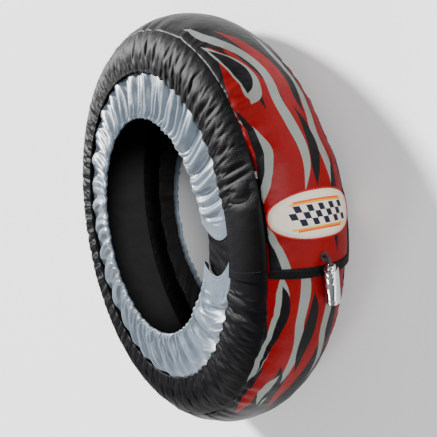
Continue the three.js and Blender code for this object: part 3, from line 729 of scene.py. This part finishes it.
def shoulder_band(hand):
    """Black shoulder panel: smooth at the tread seam, drawn in by elastic at its inner edge."""
    count = 800
    seed = 11 if hand > 0 else 23
    rnd = random.Random(seed + 7)
    gathers = ripple_line(count, 9.5, seed)
    pillows = ripple_line(count, 15, seed + 1)
    shares = [0, 0.07, 0.16, 0.27, 0.38, 0.49, 0.59, 0.68, 0.76, 0.83, 0.89, 0.95, 1.0]
    sewn = (0, 9, 12)
    azimuth_at = lambda i, share: mix(mix(-16.5, -19.5, share), UNDERLAP_END, i / count)
    lengths = [0.0]
    for a, b in zip(shares, shares[1:]):
        lengths.append(lengths[-1] + (shoulder(b)[0] - shoulder(a)[0]).length * 1.02)
    step = math.radians(UNDERLAP_END + 16.5) * SEAM_RADIUS / count
    cut, goal, grip = [], [], []
    for i in range(count + 1):
        for j, share in enumerate(shares):
            azimuth = azimuth_at(i, share)
            spot, outward = shoulder(share)
            live = hemmed_share(azimuth)
            ripple = mix(1.8 * pillows[i], 2.7 * gathers[i], ease(share, 0.5, 0.8)) * ease(share, 0, 0.8)
            lift = mix(FLAP_LIFT, SIDE_LIFT, share) * flap_share(azimuth)
            spot = spot + outward * (ripple * live + lift - 1.4 * (1 - ease(share, 0, 0.07)))
            goal.append(ring_point(azimuth, spot.x, spot.y))
            uneven = 0.8 * (rnd.random() - 0.5) * live if j else 0
            cut.append(ring_point(azimuth, SEAM_RADIUS + uneven, 60.4 + lengths[j]))
            grip.append(max(1.0 if j in sewn else 0.0, 1 - ease(live, 0.0, 0.35)))
    faces = grid_faces(count + 1, len(shares))
    places = settle("shoulder_cloth", cut, goal, faces, grip, 2.5, 2.5)
    points, flat = [], []
    for i in range(count + 1):
        first = i * len(shares)
        for j in range(len(shares)):
            point = held_near(places[first + j], goal[first + j], 6.5)
            points.append(on_floor_side(point, hand))
            flat.append((step * i, lengths[j]))
        # Past the elastic the edge stands a little over the skirt, as a scalloped frill
        azimuth, radius, side = polar(goal[first + len(shares) - 1])
        frill = 1.6 + 2.8 * gathers[i] * hemmed_share(azimuth_at(i, 1))
        for reach, drop in ((0.6, -0.3), (1.0, 1.2)):
            points.append(on_floor_side(ring_point(azimuth, radius - frill * reach, side - drop), hand))
            flat.append((step * i, lengths[-1] + frill * reach))
    rows = len(shares) + 2
    end = "upper" if hand > 0 else "lower"
    obj = mesh_object("shoulder_band_" + end, points, grid_faces(count + 1, rows, hand < 0))
    cloth_map(obj, flat)
    obj.data.materials.append(NYLON)
    obj.data.materials.append(NYLON_PAINTED_LIGHTER)
    # The rows past the elastic take the lighter copy of the nylon: painted light on the crumples.
    for k, polygon in enumerate(obj.data.polygons):
        if k % (rows - 1) >= sewn[1]:
            polygon.material_index = 1
    thicken(obj, 0.8, 1)
    declare(obj, "black_nylon", "side_band_" + end)
    # Twin seam of the flap's flat hem, where no elastic draws it in, and the seam of its end
    for seam, stations in (
        ("outer", [(k, 0.84) for k in range(5, 36)]), ("inner", [(k, 0.88) for k in range(5, 36)]),
        ("end", [(5, 0.12 + 0.02 * k) for k in range(39)]),
    ):
        places, normals = [], []
        for k, share in stations:
            azimuth = azimuth_at(k, share)
            spot, outward = shoulder(share)
            spot = spot + outward * (mix(FLAP_LIFT, SIDE_LIFT, share) * flap_share(azimuth))
            place = ring_point(azimuth, spot.x, spot.y)
            places.append(on_floor_side(place, hand))
            raised = ring_point(azimuth, spot.x + outward.x, spot.y + outward.y)
            normals.append(on_floor_side(raised, hand) - places[-1])
        stitch_row("band_" + seam + "_stitches_" + end, places, normals, 3.6, 2.6, 0.7, BLACK_THREAD,
                   "black_nylon")


def notch(low, high, bow, share):
    return mix(low, high, share) - 4 * bow * share * (1 - share)


def flank_skirt(hand):
    """Grey skirt: a straight strip drawn in a little where it is sewn on, and a lot at its hem."""
    count = 680
    seed = 37 if hand > 0 else 51
    rnd = random.Random(seed + 7)
    gathers = ripple_line(count, 24, seed)
    ruffles = ripple_line(count, 9.5, seed + 1)
    shares = [k / 12 for k in range(13)]
    step = math.radians(353) * GATHER_RADIUS * 1.09 / count
    width = (GATHER_RADIUS - HEM_RADIUS) * 1.04
    sink = 0.0 if hand > 0 else 4.0
    cut, goal, grip = [], [], []
    for i in range(count + 1):
        end = min(i / 16, (count - i) / 26)
        for share in shares:
            low, high = notch(-5.2, -2.5, 4.75, share), 360 + notch(-12.1, -20.2, 6.5, share)
            azimuth = mix(low, high, i / count)
            radius = mix(GATHER_RADIUS - 0.9, HEM_RADIUS, share)
            side = mix(GATHER_SIDE, HEM_SIDE, share) - 1.2 * (1 - share) - sink
            ripple = 6.5 * (gathers[i] - 1) * (1 - share) + (3 * gathers[i] + 3 * ruffles[i]) * share ** 2
            ripple = (ripple - 8 * share * (1 - share)) * ease(end, 0.8, 1.6)
            goal.append(ring_point(azimuth, radius, side + ripple))
            full = step * count / math.radians(high - low) + 1.5 * (gathers[i] - 0.5)
            level = GATHER_SIDE - sink + 0.9 * width * share + 0.8 * (rnd.random() - 0.5)
            cut.append(ring_point(azimuth, full, level))
            grip.append(max(1.0 if share in (0, 1) else 0.0, 1 - ease(end, 0.6, 1.0)))
    faces = grid_faces(count + 1, len(shares))
    places = settle("skirt_cloth", cut, goal, faces, grip, 1.0, 0.0)
    points, flat = [], []
    for i in range(count + 1):
        first = i * len(shares)
        live = ease(min(i / 16, (count - i) / 26), 0.3, 1.2)
        for j, share in enumerate(shares):
            point = held_near(places[first + j], goal[first + j], 9)
            points.append(on_floor_side(point, hand))
            flat.append((step * i, width * share))
        # The hem is rolled under and sewn down 9 mm from its edge, with the elastic inside
        azimuth, radius, side = polar(goal[first + len(shares) - 1])
        scallop = 2.2 * (1 - ruffles[i]) * live
        turned = ((-1.6, -1.2), (-1.8, -2.8), (0.2, -4.2), (4.5, -4.0), (9.0, -3.2))
        for k, (reach, drop) in enumerate(turned):
            level = mix(HEM_SIDE - sink, side, 1 - 0.15 * k) + drop
            edge = ring_point(azimuth, radius + reach + scallop * (1 - k / 4), level)
            points.append(on_floor_side(edge, hand))
            flat.append((step * i, width + 2.5 * (k + 1)))
    rows = len(shares) + 5
    end = "upper" if hand > 0 else "lower"
    obj = mesh_object("flank_skirt_" + end, points, grid_faces(count + 1, rows, hand < 0))
    cloth_map(obj, flat)
    obj.data.materials.append(SATIN)
    # The skirt's inside face is painted black: painted shade inside the ring.
    obj.data.materials.append(INSIDE_FACE_PAINTED_SHADE)
    thicken(obj, 0.45, 1, 1)
    declare(obj, "grey_satin", "skirt_" + end)
    # Seams: round the hem's casing, and along both hemmed ends at the gap
    seams = [("casing", [(i, 11) for i in range(3, count - 2)])]
    seams += [("first_end", [(3, j) for j in range(13)]), ("last_end", [(count - 3, j) for j in range(13)])]
    for seam, stations in seams:
        places = [points[i * rows + j] for i, j in stations]
        normals = []
        for i, j in stations:
            along = points[(i + 1) * rows + j] - points[(i - 1) * rows + j]
            inward = points[i * rows + j + 1] - points[i * rows + max(j - 1, 0)]
            normals.append(inward.cross(along) * hand)
        if normals[0].z * hand < 0:
            normals = [-n for n in normals]
        stitch_row("skirt_" + seam + "_stitches_" + end, places, normals, 3.4, 2.4, 0.6, WHITE_THREAD,
                   "grey_satin")


# Inside, closure and trim
def lining():
    """Black cloth inside the strap. Its long edges turn outward and close the padding in."""
    count = 300
    edge = [(56.5, 2.2), (57.2, 6.0), (56.5, 10.6), (54, 12.3)]
    rows = [(-side, depth) for side, depth in edge]
    rows += [(side, 12.3) for side in range(-50, 51, 4)]
    rows += list(reversed(edge))
    points, flat = [], []
    for i in range(count + 1):
        azimuth = mix(9, UNDERLAP_END, i / count)
        for side, depth in rows:
            quilt = 0.7 * max(abs(math.sin(math.radians(azimuth) * 24)), 0) * (1 - (side / 58) ** 4)
            radius = tread_radius(side) - depth - (quilt if depth > 12 else 0)
            points.append(ring_point(azimuth, radius, side))
            flat.append((azimuth * MM_PER_DEGREE, side))
    obj = mesh_object("tire_lining", points, grid_faces(count + 1, len(rows)))
    cloth_map(obj, flat)
    obj.data.materials.append(LINING)
    thicken(obj, 0.8)
    declare(obj, "lining_cloth", "liner")


def tongue(hand):
    """Black cloth behind the gap of the skirt, from under the shoulder panel to the hem."""
    columns, rows = 60, 24
    points, flat = [], []
    for i in range(columns + 1):
        azimuth = mix(-24.5, 2, i / columns)
        for j in range(rows + 1):
            radius = mix(165.5, 246, j / rows)
            under = ease(azimuth, -4, 0) + 1 - ease(azimuth, -24.5, -19)
            level = min(65.1 + 0.135 * (radius - 165) - 1.3, 71.0) - 2.5 * under
            crease = 1.3 * wave(azimuth / 3.2 + radius / 60, radius / 26, 3.0 * hand)
            points.append(ring_point(azimuth, radius, hand * (level + min(crease, 0.3))))
            flat.append((azimuth * 3.6, radius))
    end = "upper" if hand > 0 else "lower"
    obj = mesh_object("closure_tongue_cloth_" + end, points, grid_faces(columns + 1, rows + 1, hand > 0))
    obj.data.flip_normals()
    cloth_map(obj, flat)
    obj.data.materials.append(NYLON)
    thicken(obj, 0.8)
    declare(obj, "black_nylon", "closure_tongue_" + end)


def elastic_tape(node, radius, width, side, first, last):
    """Knitted tape, drawn into small puckers by the cloth that it holds."""
    steps, rows = 420, 5
    hand = 1 if side > 0 else -1
    points, flat = [], []
    for i in range(steps + 1):
        azimuth = mix(first, last, i / steps)
        for j in range(rows + 1):
            pucker = 0.25 * math.sin(i * 0.9 + 0.4 * math.sin(i * 0.13))
            points.append(ring_point(azimuth, radius + width * j / rows, side + hand * pucker))
            flat.append((azimuth * 4, width * j / rows))
    obj = mesh_object(node + "_tape", points, grid_faces(steps + 1, rows + 1, hand > 0))
    obj.data.flip_normals()
    cloth_map(obj, flat)
    obj.data.materials.append(ELASTIC)
    thicken(obj, 0.8)
    declare(obj, "elastic", node)


def stitch_row(name, places, normals, pitch, length, thickness, finish, slot):
    """Sewn thread along a line: one small capsule for each stitch, sunk a little in the cloth."""
    mesh = bmesh.new()
    travelled, target = 0.0, pitch / 2
    for k in range(1, len(places)):
        a, b = places[k - 1], places[k]
        gap = (b - a).length * 1000
        while gap > 1e-6 and travelled + gap >= target:
            middle = a.lerp(b, (target - travelled) / gap)
            ahead = (b - a).normalized()
            up = normals[k].normalized()
            across = ahead.cross(up).normalized()
            rings = []
            for along, size in ((-0.5, 0.35), (-0.32, 0.9), (0, 1.0), (0.32, 0.9), (0.5, 0.35)):
                centre = middle + ahead * (along * length / 1000)
                centre += up * (0.18 if abs(along) < 0.4 else -0.1) * thickness / 1000
                ring = []
                for turn in range(5):
                    angle = turn * math.tau / 5
                    reach = thickness / 2000 * size
                    ring.append(mesh.verts.new(
                        centre + across * (math.cos(angle) * reach) + up * (math.sin(angle) * reach)))
                rings.append(ring)
            for first, second in zip(rings, rings[1:]):
                for turn in range(5):
                    after = (turn + 1) % 5
                    mesh.faces.new((first[turn], first[after], second[after], second[turn]))
            mesh.faces.new(tuple(reversed(rings[0])))
            mesh.faces.new(tuple(rings[-1]))
            target += pitch
        travelled += gap
    bmesh.ops.recalc_face_normals(mesh, faces=mesh.faces)
    obj = mesh_object(name, [], [])
    mesh.to_mesh(obj.data)
    mesh.free()
    obj.data.materials.append(finish)
    smooth(obj)
    declare(obj, slot)
    return obj


def binding():
    """Folded tape over the flap's end edge: over the top, round the edge and under it."""
    profile = [(11.4, 0.25), (11.0, 1.15), (9.4, 1.45), (6.5, 1.35), (4, 1.5), (1.6, 1.5), (0.2, 1.2),
               (-0.5, 0.4), (-0.6, -0.5), (-0.1, -1.3), (1.2, -1.7), (4, -1.75), (7, -1.7)]
    columns = 110
    points, flat = [], []
    for i in range(columns + 1):
        side = mix(-60.6, 60.6, i / columns)
        ripple = 0.35 * wave(side / 7, 1.0, 8.0)
        for k, (reach, height) in enumerate(profile):
            azimuth = FLAP_END + (reach + 0.5 * wave(side / 30, 2.0, 8.0)) / MM_PER_DEGREE
            radius = tread_radius(min(60, abs(side))) + FLAP_LIFT + height + (ripple if height > 0 else 0)
            radius -= 0.9 * ease(abs(side), 57, 60.6)
            points.append(ring_point(azimuth, radius, side))
            flat.append((side, 2.0 * k))
    obj = mesh_object("flap_end_binding", points, grid_faces(columns + 1, len(profile)))
    obj.data.flip_normals()
    cloth_map(obj, flat)
    obj.data.materials.append(NYLON)
    thicken(obj, 0.5, 1)
    declare(obj, "black_nylon", "flap_binding")
    for name, reach in (("binding_stitches", 9.0), ("binding_edge_stitches", 2.4)):
        places, normals = [], []
        for k in range(121):
            side = mix(-59, 59, k / 120)
            azimuth = FLAP_END + reach / MM_PER_DEGREE
            radius = tread_radius(side) + FLAP_LIFT + 1.5
            places.append(ring_point(azimuth, radius, side))
            normals.append(ring_point(azimuth, radius + 1, side * 1.004) - places[-1])
        stitch_row(name, places, normals, 3.6, 2.7, 0.7, BLACK_THREAD, "black_nylon")


PATCH_INKS = {
    "ground": "C2BAA8", "navy": "060A24", "orange": "C04C04", "yellow": "D08A0C",
}


def oval_patch():
    """Cream oval with a race track's chequers and two pinstripes, edged with dense red stitches."""
    half, tall = 60.0, 28.0

    def oval(k, count):
        """Point on the patch's edge, a little fuller than an ellipse."""
        c, d = math.cos(k * math.tau / count), math.sin(k * math.tau / count)
        full = (abs(c) ** 2.5 + abs(d) ** 2.5) ** (-1 / 2.5)
        return half * full * c, tall * full * d

    def swell(side, high):
        """How far the cloth under the patch stands out there, in mm."""
        return 0.5 * wave(side / 30, high / 22, 6.0)

    marks = []

    def stripe(ink, low, high, reach):
        top = [(x, high - 0.0008 * x * x) for x in range(-reach, reach + 1, 4)]
        bottom = [(x, low - 0.0008 * x * x) for x in range(reach, -reach - 1, -4)]
        marks.append((ink, top + bottom))

    stripe("orange", 15.4, 17.6, 34)
    stripe("yellow", 13.2, 15.4, 38)
    stripe("yellow", -15.4, -13.2, 38)
    stripe("orange", -17.6, -15.4, 32)
    size, slant = 7.8, 0.35
    for i in range(-5, 5):
        for j in range(3):
            low, left = -11.7 + size * j, size * i
            if (i + j) % 2:
                corners = ((left, low), (left + size, low), (left + size, low + size), (left, low + size))
                marks.append(("navy", [(x + slant * y, y) for x, y in corners]))
    inner = [(x, y) for x in range(-58, 59, 4) for y in range(-26, 27, 4)
             if (x / 57) ** 2 + (y / 25) ** 2 < 1]
    outline = [oval(k, 96) for k in range(96)]
    obj, flat = printed_cloth("oval_badge_patch", outline, marks, inner, PATCH_INKS)
    for vertex, place in zip(obj.data.vertices, flat):
        side = place.x
        azimuth = PATCH_AZIMUTH + place.y / MM_PER_DEGREE
        puff = 0.8 + 0.5 * (1 - (place.x / half) ** 2 - (place.y / tall) ** 2)
        radius = tread_radius(side) + FLAP_LIFT + 0.9 + puff + swell(side, place.y)
        vertex.co = ring_point(azimuth, radius, side)
    cloth_map(obj, [(p.x, p.y) for p in flat])
    # The printed side faces outward, towards -Y
    obj.data.flip_normals()
    if obj.data.polygons[0].normal.y > 0:
        obj.data.flip_normals()
    obj.data.materials.append(PATCH)
    thicken(obj, 1.0)
    declare(obj, "patch_cloth", "badge_patch")
    # Overlocked edge: a cord of slanted red stitches round the oval
    path = []
    for k in range(241):
        side, high = oval(k, 240)
        azimuth = PATCH_AZIMUTH + high / MM_PER_DEGREE
        radius = tread_radius(min(60, abs(side))) + FLAP_LIFT + 1.3 + swell(side, high)
        path.append(ring_point(azimuth, radius, side))
    points, flat = [], []
    for k, centre in enumerate(path):
        ahead = (path[(k + 1) % 240] - path[(k - 1) % 240]).normalized()
        out = Vector((centre.x - RING_X / 1000, centre.y - RING_Y / 1000, 0)).normalized()
        across = ahead.cross(out).normalized()
        for c in range(9):
            angle = c * math.tau / 8
            slant = 1.0 + 0.12 * math.sin(k * 2.2 + angle)
            turned = across * math.cos(angle) * 1.25 + out * math.sin(angle) * 0.9
            points.append(centre + turned * slant / 1000)
            flat.append((k * 1.3, c * 1.2))
    edge = mesh_object("oval_badge_edge", points, grid_faces(len(path), 9))
    cloth_map(edge, flat)
    lone(edge)
    bpy.ops.object.mode_set(mode="EDIT")
    bpy.ops.mesh.select_all(action="SELECT")
    bpy.ops.mesh.remove_doubles(threshold=0.00002)
    bpy.ops.mesh.normals_make_consistent(inside=False)
    bpy.ops.object.mode_set(mode="OBJECT")
    edge.data.materials.append(RED_THREAD)
    smooth(edge)
    declare(edge, "patch_cloth")


# Connector, made with the mesh tools
def connector_axis():
    """Rear end of the connector, where the nut sits, and the direction to its mouth."""
    rear = ring_point(CONNECTOR_AZIMUTH, OUTER_RADIUS + FLAP_LIFT + CONNECTOR_STANDOFF, 0)
    reach = math.hypot(rear.x * 1000 - RING_X, rear.y * 1000 - RING_Y)
    mouth = ring_point(CONNECTOR_AZIMUTH - 8.2, reach - 6, -13)
    return rear, (mouth - rear).normalized()


def pick_faces(obj, test):
    """Selects the faces that pass a test of centre and normal, in edit mode."""
    bpy.ops.object.mode_set(mode="EDIT")
    bpy.ops.mesh.select_mode(type="FACE")
    bpy.ops.mesh.select_all(action="DESELECT")
    work = bmesh.from_edit_mesh(obj.data)
    for face in work.faces:
        face.select_set(test(face.calc_center_median(), face.normal))
    bmesh.update_edit_mesh(obj.data)


def turned_piece(name, radius, length, segments):
    """Starts a turned metal piece along Z, with its mouth at 0 and its rear at the length."""
    bpy.ops.object.select_all(action="DESELECT")
    bpy.ops.mesh.primitive_cylinder_add(
        vertices=segments, radius=radius / 1000, depth=length / 1000, location=(0, 0, length / 2000))
    obj = bpy.context.active_object
    obj.name = name
    bpy.ops.object.transform_apply(location=True, rotation=True, scale=True)
    return obj


def step_in(margin, rise):
    """Insets the faces that are selected and moves them along Z, both in metres."""
    bpy.ops.mesh.inset(thickness=margin)
    bpy.ops.mesh.extrude_region_move(TRANSFORM_OT_translate={"value": (0, 0, rise)})


def finish_turned_piece(obj, rim_width, start, node):
    """Rounds the rims, brings the piece onto the connector's line and keeps its place in the mesh.
    Rim width and start along the line from the mouth are in metres."""
    bpy.ops.object.mode_set(mode="OBJECT")
    rim = obj.modifiers.new("rim", "BEVEL")
    rim.width = rim_width
    rim.segments = 3
    rim.limit_method = "ANGLE"
    rim.angle_limit = math.radians(35)
    apply_modifiers(obj)
    for vertex in obj.data.vertices:
        vertex.co.z += start
    rear, ahead = connector_axis()
    lone(obj)
    obj.rotation_mode = "QUATERNION"
    obj.rotation_quaternion = Vector((0, 0, 1)).rotation_difference(-ahead)
    obj.location = rear + ahead * (SHELL_LENGTH / 1000)
    bpy.ops.object.transform_apply(location=True, rotation=True, scale=True)
    smooth(obj, 40)
    obj.data.materials.append(CHROME)
    declare(obj, "bright_chrome", node)


# From the mouth, in metres: the end of the rolled rim and both edges of each groove
RIM_END = 0.0035
GROOVES = ((0.0047, 0.0058), (0.030, 0.0312), (0.0405, 0.0417))


def chrome_shell():
    shell = turned_piece("chrome_connector_shell", 8.8, SHELL_LENGTH, 64)
    # Bore from the mouth, leaving the floor at the rear
    pick_faces(shell, lambda c, n: n.z < -0.9)
    step_in(0.0012, 0.043)
    # Opening for the lead in the rear face
    pick_faces(shell, lambda c, n: n.z > 0.9 and c.z > 0.0455)
    step_in(0.0056, -0.0014)
    # Side wall cut into bands, for the grooves and the grip ring
    for height in (RIM_END, *GROOVES[0], *GROOVES[1], *GROOVES[2]):
        bpy.ops.mesh.select_all(action="SELECT")
        bpy.ops.mesh.bisect(plane_co=(0, 0, height), plane_no=(0, 0, 1))
    for low, high in GROOVES:
        pick_faces(shell, lambda c, n: low < c.z < high and abs(n.z) < 0.3 and math.hypot(c.x, c.y) > 0.0083)
        bpy.ops.mesh.extrude_region_shrink_fatten(TRANSFORM_OT_shrink_fatten={"value": -0.00045})
    finish_turned_piece(shell, 0.0003, 0.0, "connector_shell")


def chrome_nut():
    nut = turned_piece("chrome_lead_nut", 5.5, 5, 48)
    pick_faces(nut, lambda c, n: n.z > 0.9)
    step_in(0.0011, 0.0006)
    step_in(0.0012, -0.002)
    finish_turned_piece(nut, 0.0004, 0.0463, "lead_nut")


# Put together
tread_cover()
shoulder_band(1)
shoulder_band(-1)
flank_skirt(1)
flank_skirt(-1)
lining()
tongue(1)
tongue(-1)
for end, hand in (("upper", 1), ("lower", -1)):
    top = min(GATHER_SIDE, 72.5) - 1.3
    elastic_tape("gather_elastic_" + end, 232.5, 8, hand * (top - 0.5), 12, 324)
    elastic_tape("hem_elastic_" + end, 166.9, 5, hand * 69.1, 3, 338)
binding()
oval_patch()
chrome_shell()
chrome_nut()

# The pieces of the frame that show their own shape
KEPT = {
    "insulation_wadding": fibrous("glass_fibre_wadding", "8A867C", "A9A498", 2.5, 0.95, 0.6),
    "heating_mat": fibrous("silicone_glass_heating_mat", "5A4A3C", "75624F", 1.2, 0.8),
    "heating_wire": bare_metal("copper_nickel_resistance_wire", "8C4A2C", "B06A44", 0.4, 0.8),
    "lead_eyelet": moulded("moulded_black_nylon_eyelet", "0E0F11", "1B1C1F", 0.45),
    "power_lead": moulded("black_silicone_rubber_lead", "0B0B0D", "161618", 0.6, 1.0),
    "connector_insert": moulded("moulded_black_nylon_insert", "101114", "1C1D21", 0.5),
}
TAPE_HOOK = fibrous("black_nylon_closure_hooks", "0A0A0C", "17171A", 0.8, 0.95, 0.5)
TAPE_LOOP = fibrous("black_nylon_closure_loops", "0C0C0E", "1C1C1F", 1.4, 0.95, 0.6)
STEEL = bare_metal("drawn_steel_switch_can", "8C8E91", "A8AAAD", 0.35, 1.0)
BRASS = bare_metal("turned_brass_contact", "B08A3C", "CFA856", 0.28, 0.8)
for name in ("heat_switch_1", "heat_switch_2", "heat_fuse"):
    KEPT[name] = STEEL
for name in ("contact_pin_1", "contact_pin_2", "contact_pin_3"):
    KEPT[name] = BRASS
for end in ("upper", "lower"):
    KEPT["loop_tape_" + end] = TAPE_LOOP
    KEPT["hook_tape_" + end] = TAPE_HOOK
for name, finish in KEPT.items():
    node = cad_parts[name]
    node = node if isinstance(node, bpy.types.Object) else bpy.data.objects[name]
    for slot in node.material_slots:
        slot.material = finish
    if not node.material_slots:
        node.data.materials.append(finish)
